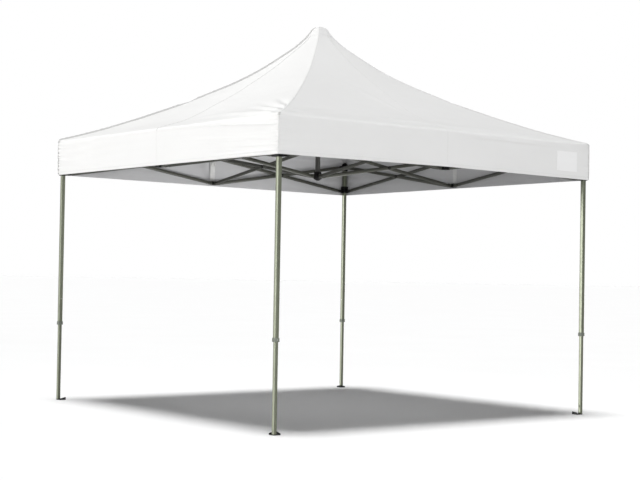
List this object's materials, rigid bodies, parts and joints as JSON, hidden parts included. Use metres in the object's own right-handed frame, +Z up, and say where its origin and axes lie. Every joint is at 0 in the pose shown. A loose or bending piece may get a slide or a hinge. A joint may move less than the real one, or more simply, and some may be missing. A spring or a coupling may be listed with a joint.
{
  "type": "marquee tent",
  "caption": "Square folding marquee with a white peaked canopy, straight telescoping legs and a scissor truss frame that closes as one.",
  "frame": {"origin": "on the floor under the middle of the tent, with the tent standing open", "axes": "+Z up along the centre pole, +X and +Y square to the tent's sides, the front side facing -Y"},
  "size_m": [3.05, 3.05, 3.064],
  "materials": {
    "hub_upper": "black moulded nylon",
    "centre_pole": "satin pale grey-green powder coat",
    "spoke_front_down": "satin grey-green powder coat",
    "spoke_right_down": "satin grey-green powder coat",
    "spoke_back_down": "satin grey-green powder coat",
    "spoke_left_down": "satin grey-green powder coat",
    "spoke_front_up": "satin grey-green powder coat",
    "joint_front_low": "black moulded nylon",
    "joint_front_top": "black moulded nylon",
    "hub_lower": "black moulded nylon",
    "truss_front_a_up": "satin grey-green powder coat",
    "truss_front_a_down": "satin grey-green powder coat",
    "truss_front_b_up": "satin grey-green powder coat",
    "truss_front_b_down": "satin grey-green powder coat",
    "leg_outer_front_left": "satin pale grey-green powder coat",
    "slider_front_left": "black moulded nylon",
    "leg_inner_front_left": "satin pale grey-green powder coat",
    "spoke_right_up": "satin grey-green powder coat",
    "joint_right_low": "black moulded nylon",
    "joint_right_top": "black moulded nylon",
    "truss_right_a_up": "satin grey-green powder coat",
    "truss_right_a_down": "satin grey-green powder coat",
    "truss_right_b_up": "satin grey-green powder coat",
    "truss_right_b_down": "satin grey-green powder coat",
    "leg_outer_front_right": "satin pale grey-green powder coat",
    "slider_front_right": "black moulded nylon",
    "leg_inner_front_right": "satin pale grey-green powder coat",
    "spoke_back_up": "satin grey-green powder coat",
    "joint_back_low": "black moulded nylon",
    "joint_back_top": "black moulded nylon",
    "truss_back_a_up": "satin grey-green powder coat",
    "truss_back_a_down": "satin grey-green powder coat",
    "truss_back_b_up": "satin grey-green powder coat",
    "truss_back_b_down": "satin grey-green powder coat",
    "leg_outer_back_right": "satin pale grey-green powder coat",
    "slider_back_right": "black moulded nylon",
    "leg_inner_back_right": "satin pale grey-green powder coat",
    "spoke_left_up": "satin grey-green powder coat",
    "joint_left_low": "black moulded nylon",
    "joint_left_top": "black moulded nylon",
    "truss_left_a_up": "satin grey-green powder coat",
    "truss_left_a_down": "satin grey-green powder coat",
    "truss_left_b_up": "satin grey-green powder coat",
    "truss_left_b_down": "satin grey-green powder coat",
    "leg_outer_back_left": "satin pale grey-green powder coat",
    "slider_back_left": "black moulded nylon",
    "leg_inner_back_left": "satin pale grey-green powder coat",
    "roof_front_upper": "matt white coated polyester",
    "roof_front_lower": "matt white coated polyester",
    "valance_front": "matt white coated polyester",
    "roof_right_upper": "matt white coated polyester",
    "roof_right_lower": "matt white coated polyester",
    "valance_right": "matt white coated polyester",
    "roof_back_upper": "matt white coated polyester",
    "roof_back_lower": "matt white coated polyester",
    "valance_back": "matt white coated polyester",
    "roof_left_upper": "matt white coated polyester",
    "roof_left_lower": "matt white coated polyester",
    "valance_left": "matt white coated polyester"
  },
  "bodies": {
    "hub_and_pole": {"hub_upper": "hub_upper", "centre_pole": "centre_pole"},
    "spoke_front_down": {"spoke_front_down": "spoke_front_down"},
    "spoke_right_down": {"spoke_right_down": "spoke_right_down"},
    "spoke_back_down": {"spoke_back_down": "spoke_back_down"},
    "spoke_left_down": {"spoke_left_down": "spoke_left_down"},
    "spoke_front_up": {"spoke_front_up": "spoke_front_up"},
    "joint_front_low": {"joint_front_low": "joint_front_low"},
    "joint_front_top": {"joint_front_top": "joint_front_top"},
    "hub_lower": {"hub_lower": "hub_lower"},
    "truss_front_a_up": {"truss_front_a_up": "truss_front_a_up"},
    "truss_front_a_down": {"truss_front_a_down": "truss_front_a_down"},
    "truss_front_b_up": {"truss_front_b_up": "truss_front_b_up"},
    "truss_front_b_down": {"truss_front_b_down": "truss_front_b_down"},
    "leg_outer_front_left": {"leg_outer_front_left": "leg_outer_front_left"},
    "slider_front_left": {"slider_front_left": "slider_front_left"},
    "leg_inner_front_left": {"leg_inner_front_left": "leg_inner_front_left"},
    "spoke_right_up": {"spoke_right_up": "spoke_right_up"},
    "joint_right_low": {"joint_right_low": "joint_right_low"},
    "joint_right_top": {"joint_right_top": "joint_right_top"},
    "truss_right_a_up": {"truss_right_a_up": "truss_right_a_up"},
    "truss_right_a_down": {"truss_right_a_down": "truss_right_a_down"},
    "truss_right_b_up": {"truss_right_b_up": "truss_right_b_up"},
    "truss_right_b_down": {"truss_right_b_down": "truss_right_b_down"},
    "leg_outer_front_right": {"leg_outer_front_right": "leg_outer_front_right"},
    "slider_front_right": {"slider_front_right": "slider_front_right"},
    "leg_inner_front_right": {"leg_inner_front_right": "leg_inner_front_right"},
    "spoke_back_up": {"spoke_back_up": "spoke_back_up"},
    "joint_back_low": {"joint_back_low": "joint_back_low"},
    "joint_back_top": {"joint_back_top": "joint_back_top"},
    "truss_back_a_up": {"truss_back_a_up": "truss_back_a_up"},
    "truss_back_a_down": {"truss_back_a_down": "truss_back_a_down"},
    "truss_back_b_up": {"truss_back_b_up": "truss_back_b_up"},
    "truss_back_b_down": {"truss_back_b_down": "truss_back_b_down"},
    "leg_outer_back_right": {"leg_outer_back_right": "leg_outer_back_right"},
    "slider_back_right": {"slider_back_right": "slider_back_right"},
    "leg_inner_back_right": {"leg_inner_back_right": "leg_inner_back_right"},
    "spoke_left_up": {"spoke_left_up": "spoke_left_up"},
    "joint_left_low": {"joint_left_low": "joint_left_low"},
    "joint_left_top": {"joint_left_top": "joint_left_top"},
    "truss_left_a_up": {"truss_left_a_up": "truss_left_a_up"},
    "truss_left_a_down": {"truss_left_a_down": "truss_left_a_down"},
    "truss_left_b_up": {"truss_left_b_up": "truss_left_b_up"},
    "truss_left_b_down": {"truss_left_b_down": "truss_left_b_down"},
    "leg_outer_back_left": {"leg_outer_back_left": "leg_outer_back_left"},
    "slider_back_left": {"slider_back_left": "slider_back_left"},
    "leg_inner_back_left": {"leg_inner_back_left": "leg_inner_back_left"},
    "roof_front_upper": {"roof_front_upper": "roof_front_upper"},
    "roof_front_lower": {"roof_front_lower": "roof_front_lower"},
    "valance_front": {"valance_front": "valance_front"},
    "roof_right_upper": {"roof_right_upper": "roof_right_upper"},
    "roof_right_lower": {"roof_right_lower": "roof_right_lower"},
    "valance_right": {"valance_right": "valance_right"},
    "roof_back_upper": {"roof_back_upper": "roof_back_upper"},
    "roof_back_lower": {"roof_back_lower": "roof_back_lower"},
    "valance_back": {"valance_back": "valance_back"},
    "roof_left_upper": {"roof_left_upper": "roof_left_upper"},
    "roof_left_lower": {"roof_left_lower": "roof_left_lower"},
    "valance_left": {"valance_left": "valance_left"}
  },
  "joints": [
    {"name": "fold", "type": "hinge", "parent": "hub_and_pole", "child": "spoke_front_down", "pos_m": [0.008, -0.06, 2.078], "axis": [1, 0, 0], "range_deg": [0, 76.5]},
    {"name": "spoke_right_turn", "type": "hinge", "parent": "hub_and_pole", "child": "spoke_right_down", "pos_m": [0.06, 0.008, 2.078], "axis": [0, 1, 0], "range_deg": [0, 76.5]},
    {"name": "spoke_back_turn", "type": "hinge", "parent": "hub_and_pole", "child": "spoke_back_down", "pos_m": [-0.008, 0.06, 2.078], "axis": [-1, 0, 0], "range_deg": [0, 76.5]},
    {"name": "spoke_left_turn", "type": "hinge", "parent": "hub_and_pole", "child": "spoke_left_down", "pos_m": [-0.06, -0.008, 2.078], "axis": [0, -1, 0], "range_deg": [0, 76.5]},
    {"name": "spoke_front_cross", "type": "hinge", "parent": "spoke_front_down", "child": "spoke_front_up", "pos_m": [-0.008, -0.7525, 1.968], "axis": [1, 0, 0], "range_deg": [-153, 0]},
    {"name": "front_low_pivot", "type": "hinge", "parent": "spoke_front_down", "child": "joint_front_low", "pos_m": [0.008, -1.445, 1.858], "axis": [1, 0, 0], "range_deg": [-76.5, 0]},
    {"name": "front_top_pivot", "type": "hinge", "parent": "spoke_front_up", "child": "joint_front_top", "pos_m": [-0.008, -1.445, 2.078], "axis": [1, 0, 0], "range_deg": [0, 76.5]},
    {"name": "hub_lower_pivot", "type": "hinge", "parent": "spoke_front_up", "child": "hub_lower", "pos_m": [-0.008, -0.06, 1.858], "axis": [1, 0, 0], "range_deg": [0, 76.5]},
    {"name": "truss_front_a_up_turn", "type": "hinge", "parent": "joint_front_low", "child": "truss_front_a_up", "pos_m": [-0.05, -1.487, 1.858], "axis": [0, 1, 0], "range_deg": [0, 76.5]},
    {"name": "truss_front_a_down_turn", "type": "hinge", "parent": "joint_front_top", "child": "truss_front_a_down", "pos_m": [-0.05, -1.503, 2.078], "axis": [0, -1, 0], "range_deg": [0, 76.5]},
    {"name": "truss_front_b_up_turn", "type": "hinge", "parent": "joint_front_low", "child": "truss_front_b_up", "pos_m": [0.05, -1.487, 1.858], "axis": [0, -1, 0], "range_deg": [0, 76.5]},
    {"name": "truss_front_b_down_turn", "type": "hinge", "parent": "joint_front_top", "child": "truss_front_b_down", "pos_m": [0.05, -1.503, 2.078], "axis": [0, 1, 0], "range_deg": [0, 76.5]},
    {"name": "front_left_bracket_pivot", "type": "hinge", "parent": "truss_front_a_up", "child": "leg_outer_front_left", "pos_m": [-1.435, -1.487, 2.078], "axis": [0, -1, 0], "range_deg": [0, 76.5]},
    {"name": "front_left_slider_pivot", "type": "hinge", "parent": "truss_front_a_down", "child": "slider_front_left", "pos_m": [-1.435, -1.503, 1.858], "axis": [0, 1, 0], "range_deg": [0, 76.5]},
    {"name": "front_left_leg_slide", "type": "slide", "parent": "leg_outer_front_left", "child": "leg_inner_front_left", "axis": [0, 0, 1], "range_m": [-0.1, 0.58]},
    {"name": "spoke_right_cross", "type": "hinge", "parent": "spoke_right_down", "child": "spoke_right_up", "pos_m": [0.7525, -0.008, 1.968], "axis": [0, 1, 0], "range_deg": [-153, 0]},
    {"name": "right_low_pivot", "type": "hinge", "parent": "spoke_right_down", "child": "joint_right_low", "pos_m": [1.445, 0.008, 1.858], "axis": [0, 1, 0], "range_deg": [-76.5, 0]},
    {"name": "right_top_pivot", "type": "hinge", "parent": "spoke_right_up", "child": "joint_right_top", "pos_m": [1.445, -0.008, 2.078], "axis": [0, 1, 0], "range_deg": [0, 76.5]},
    {"name": "truss_right_a_up_turn", "type": "hinge", "parent": "joint_right_low", "child": "truss_right_a_up", "pos_m": [1.487, -0.05, 1.858], "axis": [-1, 0, 0], "range_deg": [0, 76.5]},
    {"name": "truss_right_a_down_turn", "type": "hinge", "parent": "joint_right_top", "child": "truss_right_a_down", "pos_m": [1.503, -0.05, 2.078], "axis": [1, 0, 0], "range_deg": [0, 76.5]},
    {"name": "truss_right_b_up_turn", "type": "hinge", "parent": "joint_right_low", "child": "truss_right_b_up", "pos_m": [1.487, 0.05, 1.858], "axis": [1, 0, 0], "range_deg": [0, 76.5]},
    {"name": "truss_right_b_down_turn", "type": "hinge", "parent": "joint_right_top", "child": "truss_right_b_down", "pos_m": [1.503, 0.05, 2.078], "axis": [-1, 0, 0], "range_deg": [0, 76.5]},
    {"name": "front_right_bracket_pivot", "type": "hinge", "parent": "truss_right_a_up", "child": "leg_outer_front_right", "pos_m": [1.487, -1.435, 2.078], "axis": [1, 0, 0], "range_deg": [0, 76.5]},
    {"name": "front_right_slider_pivot", "type": "hinge", "parent": "truss_right_a_down", "child": "slider_front_right", "pos_m": [1.503, -1.435, 1.858], "axis": [-1, 0, 0], "range_deg": [0, 76.5]},
    {"name": "front_right_leg_slide", "type": "slide", "parent": "leg_outer_front_right", "child": "leg_inner_front_right", "axis": [0, 0, 1], "range_m": [-0.1, 0.58]},
    {"name": "spoke_back_cross", "type": "hinge", "parent": "spoke_back_down", "child": "spoke_back_up", "pos_m": [0.008, 0.7525, 1.968], "axis": [-1, 0, 0], "range_deg": [-153, 0]},
    {"name": "back_low_pivot", "type": "hinge", "parent": "spoke_back_down", "child": "joint_back_low", "pos_m": [-0.008, 1.445, 1.858], "axis": [-1, 0, 0], "range_deg": [-76.5, 0]},
    {"name": "back_top_pivot", "type": "hinge", "parent": "spoke_back_up", "child": "joint_back_top", "pos_m": [0.008, 1.445, 2.078], "axis": [-1, 0, 0], "range_deg": [0, 76.5]},
    {"name": "truss_back_a_up_turn", "type": "hinge", "parent": "joint_back_low", "child": "truss_back_a_up", "pos_m": [0.05, 1.487, 1.858], "axis": [0, -1, 0], "range_deg": [0, 76.5]},
    {"name": "truss_back_a_down_turn", "type": "hinge", "parent": "joint_back_top", "child": "truss_back_a_down", "pos_m": [0.05, 1.503, 2.078], "axis": [0, 1, 0], "range_deg": [0, 76.5]},
    {"name": "truss_back_b_up_turn", "type": "hinge", "parent": "joint_back_low", "child": "truss_back_b_up", "pos_m": [-0.05, 1.487, 1.858], "axis": [0, 1, 0], "range_deg": [0, 76.5]},
    {"name": "truss_back_b_down_turn", "type": "hinge", "parent": "joint_back_top", "child": "truss_back_b_down", "pos_m": [-0.05, 1.503, 2.078], "axis": [0, -1, 0], "range_deg": [0, 76.5]},
    {"name": "back_right_bracket_pivot", "type": "hinge", "parent": "truss_back_a_up", "child": "leg_outer_back_right", "pos_m": [1.435, 1.487, 2.078], "axis": [0, 1, 0], "range_deg": [0, 76.5]},
    {"name": "back_right_slider_pivot", "type": "hinge", "parent": "truss_back_a_down", "child": "slider_back_right", "pos_m": [1.435, 1.503, 1.858], "axis": [0, -1, 0], "range_deg": [0, 76.5]},
    {"name": "back_right_leg_slide", "type": "slide", "parent": "leg_outer_back_right", "child": "leg_inner_back_right", "axis": [0, 0, 1], "range_m": [-0.1, 0.58]},
    {"name": "spoke_left_cross", "type": "hinge", "parent": "spoke_left_down", "child": "spoke_left_up", "pos_m": [-0.7525, 0.008, 1.968], "axis": [0, -1, 0], "range_deg": [-153, 0]},
    {"name": "left_low_pivot", "type": "hinge", "parent": "spoke_left_down", "child": "joint_left_low", "pos_m": [-1.445, -0.008, 1.858], "axis": [0, -1, 0], "range_deg": [-76.5, 0]},
    {"name": "left_top_pivot", "type": "hinge", "parent": "spoke_left_up", "child": "joint_left_top", "pos_m": [-1.445, 0.008, 2.078], "axis": [0, -1, 0], "range_deg": [0, 76.5]},
    {"name": "truss_left_a_up_turn", "type": "hinge", "parent": "joint_left_low", "child": "truss_left_a_up", "pos_m": [-1.487, 0.05, 1.858], "axis": [1, 0, 0], "range_deg": [0, 76.5]},
    {"name": "truss_left_a_down_turn", "type": "hinge", "parent": "joint_left_top", "child": "truss_left_a_down", "pos_m": [-1.503, 0.05, 2.078], "axis": [-1, 0, 0], "range_deg": [0, 76.5]},
    {"name": "truss_left_b_up_turn", "type": "hinge", "parent": "joint_left_low", "child": "truss_left_b_up", "pos_m": [-1.487, -0.05, 1.858], "axis": [-1, 0, 0], "range_deg": [0, 76.5]},
    {"name": "truss_left_b_down_turn", "type": "hinge", "parent": "joint_left_top", "child": "truss_left_b_down", "pos_m": [-1.503, -0.05, 2.078], "axis": [1, 0, 0], "range_deg": [0, 76.5]},
    {"name": "back_left_bracket_pivot", "type": "hinge", "parent": "truss_left_a_up", "child": "leg_outer_back_left", "pos_m": [-1.487, 1.435, 2.078], "axis": [-1, 0, 0], "range_deg": [0, 76.5]},
    {"name": "back_left_slider_pivot", "type": "hinge", "parent": "truss_left_a_down", "child": "slider_back_left", "pos_m": [-1.503, 1.435, 1.858], "axis": [1, 0, 0], "range_deg": [0, 76.5]},
    {"name": "back_left_leg_slide", "type": "slide", "parent": "leg_outer_back_left", "child": "leg_inner_back_left", "axis": [0, 0, 1], "range_m": [-0.1, 0.58]},
    {"name": "roof_front_upper_turn", "type": "hinge", "parent": "hub_and_pole", "child": "roof_front_upper", "pos_m": [0, 0, 3.05], "axis": [1, 0, 0], "range_deg": [0, 35.8], "deforming": ["roof_front_upper"]},
    {"name": "roof_front_lower_turn", "type": "hinge", "parent": "roof_front_upper", "child": "roof_front_lower", "pos_m": [0, -0.75, 2.455], "axis": [1, 0, 0], "range_deg": [0, 12.79], "deforming": ["roof_front_lower"]},
    {"name": "valance_front_turn", "type": "hinge", "parent": "roof_front_lower", "child": "valance_front", "pos_m": [0, -1.525, 2.13], "axis": [1, 0, 0], "range_deg": [-48.59, 0], "deforming": ["valance_front"]},
    {"name": "roof_right_upper_turn", "type": "hinge", "parent": "hub_and_pole", "child": "roof_right_upper", "pos_m": [0, 0, 3.05], "axis": [0, 1, 0], "range_deg": [0, 35.8], "deforming": ["roof_right_upper"]},
    {"name": "roof_right_lower_turn", "type": "hinge", "parent": "roof_right_upper", "child": "roof_right_lower", "pos_m": [0.75, 0, 2.455], "axis": [0, 1, 0], "range_deg": [0, 12.79], "deforming": ["roof_right_lower"]},
    {"name": "valance_right_turn", "type": "hinge", "parent": "roof_right_lower", "child": "valance_right", "pos_m": [1.525, 0, 2.13], "axis": [0, 1, 0], "range_deg": [-48.59, 0], "deforming": ["valance_right"]},
    {"name": "roof_back_upper_turn", "type": "hinge", "parent": "hub_and_pole", "child": "roof_back_upper", "pos_m": [0, 0, 3.05], "axis": [-1, 0, 0], "range_deg": [0, 35.8], "deforming": ["roof_back_upper"]},
    {"name": "roof_back_lower_turn", "type": "hinge", "parent": "roof_back_upper", "child": "roof_back_lower", "pos_m": [0, 0.75, 2.455], "axis": [-1, 0, 0], "range_deg": [0, 12.79], "deforming": ["roof_back_lower"]},
    {"name": "valance_back_turn", "type": "hinge", "parent": "roof_back_lower", "child": "valance_back", "pos_m": [0, 1.525, 2.13], "axis": [-1, 0, 0], "range_deg": [-48.59, 0], "deforming": ["valance_back"]},
    {"name": "roof_left_upper_turn", "type": "hinge", "parent": "hub_and_pole", "child": "roof_left_upper", "pos_m": [0, 0, 3.05], "axis": [0, -1, 0], "range_deg": [0, 35.8], "deforming": ["roof_left_upper"]},
    {"name": "roof_left_lower_turn", "type": "hinge", "parent": "roof_left_upper", "child": "roof_left_lower", "pos_m": [-0.75, 0, 2.455], "axis": [0, -1, 0], "range_deg": [0, 12.79], "deforming": ["roof_left_lower"]},
    {"name": "valance_left_turn", "type": "hinge", "parent": "roof_left_lower", "child": "valance_left", "pos_m": [-1.525, 0, 2.13], "axis": [0, -1, 0], "range_deg": [-48.59, 0], "deforming": ["valance_left"]}
  ],
  "couplings": [
    {"joint": "spoke_right_turn", "follows": "fold", "ratio": 1},
    {"joint": "spoke_back_turn", "follows": "fold", "ratio": 1},
    {"joint": "spoke_left_turn", "follows": "fold", "ratio": 1},
    {"joint": "spoke_front_cross", "follows": "fold", "ratio": -2},
    {"joint": "front_low_pivot", "follows": "fold", "ratio": -1},
    {"joint": "front_top_pivot", "follows": "fold", "ratio": 1},
    {"joint": "hub_lower_pivot", "follows": "fold", "ratio": 1},
    {"joint": "truss_front_a_up_turn", "follows": "fold", "ratio": 1},
    {"joint": "truss_front_a_down_turn", "follows": "fold", "ratio": 1},
    {"joint": "truss_front_b_up_turn", "follows": "fold", "ratio": 1},
    {"joint": "truss_front_b_down_turn", "follows": "fold", "ratio": 1},
    {"joint": "front_left_bracket_pivot", "follows": "fold", "ratio": 1},
    {"joint": "front_left_slider_pivot", "follows": "fold", "ratio": 1},
    {"joint": "spoke_right_cross", "follows": "fold", "ratio": -2},
    {"joint": "right_low_pivot", "follows": "fold", "ratio": -1},
    {"joint": "right_top_pivot", "follows": "fold", "ratio": 1},
    {"joint": "truss_right_a_up_turn", "follows": "fold", "ratio": 1},
    {"joint": "truss_right_a_down_turn", "follows": "fold", "ratio": 1},
    {"joint": "truss_right_b_up_turn", "follows": "fold", "ratio": 1},
    {"joint": "truss_right_b_down_turn", "follows": "fold", "ratio": 1},
    {"joint": "front_right_bracket_pivot", "follows": "fold", "ratio": 1},
    {"joint": "front_right_slider_pivot", "follows": "fold", "ratio": 1},
    {"joint": "spoke_back_cross", "follows": "fold", "ratio": -2},
    {"joint": "back_low_pivot", "follows": "fold", "ratio": -1},
    {"joint": "back_top_pivot", "follows": "fold", "ratio": 1},
    {"joint": "truss_back_a_up_turn", "follows": "fold", "ratio": 1},
    {"joint": "truss_back_a_down_turn", "follows": "fold", "ratio": 1},
    {"joint": "truss_back_b_up_turn", "follows": "fold", "ratio": 1},
    {"joint": "truss_back_b_down_turn", "follows": "fold", "ratio": 1},
    {"joint": "back_right_bracket_pivot", "follows": "fold", "ratio": 1},
    {"joint": "back_right_slider_pivot", "follows": "fold", "ratio": 1},
    {"joint": "spoke_left_cross", "follows": "fold", "ratio": -2},
    {"joint": "left_low_pivot", "follows": "fold", "ratio": -1},
    {"joint": "left_top_pivot", "follows": "fold", "ratio": 1},
    {"joint": "truss_left_a_up_turn", "follows": "fold", "ratio": 1},
    {"joint": "truss_left_a_down_turn", "follows": "fold", "ratio": 1},
    {"joint": "truss_left_b_up_turn", "follows": "fold", "ratio": 1},
    {"joint": "truss_left_b_down_turn", "follows": "fold", "ratio": 1},
    {"joint": "back_left_bracket_pivot", "follows": "fold", "ratio": 1},
    {"joint": "back_left_slider_pivot", "follows": "fold", "ratio": 1},
    {"joint": "roof_front_upper_turn", "follows": "fold", "ratio": 0.46797},
    {"joint": "roof_front_lower_turn", "follows": "fold", "ratio": 0.16714},
    {"joint": "valance_front_turn", "follows": "fold", "ratio": -0.63511},
    {"joint": "roof_right_upper_turn", "follows": "fold", "ratio": 0.46797},
    {"joint": "roof_right_lower_turn", "follows": "fold", "ratio": 0.16714},
    {"joint": "valance_right_turn", "follows": "fold", "ratio": -0.63511},
    {"joint": "roof_back_upper_turn", "follows": "fold", "ratio": 0.46797},
    {"joint": "roof_back_lower_turn", "follows": "fold", "ratio": 0.16714},
    {"joint": "valance_back_turn", "follows": "fold", "ratio": -0.63511},
    {"joint": "roof_left_upper_turn", "follows": "fold", "ratio": 0.46797},
    {"joint": "roof_left_lower_turn", "follows": "fold", "ratio": 0.16714},
    {"joint": "valance_left_turn", "follows": "fold", "ratio": -0.63511}
  ]
}
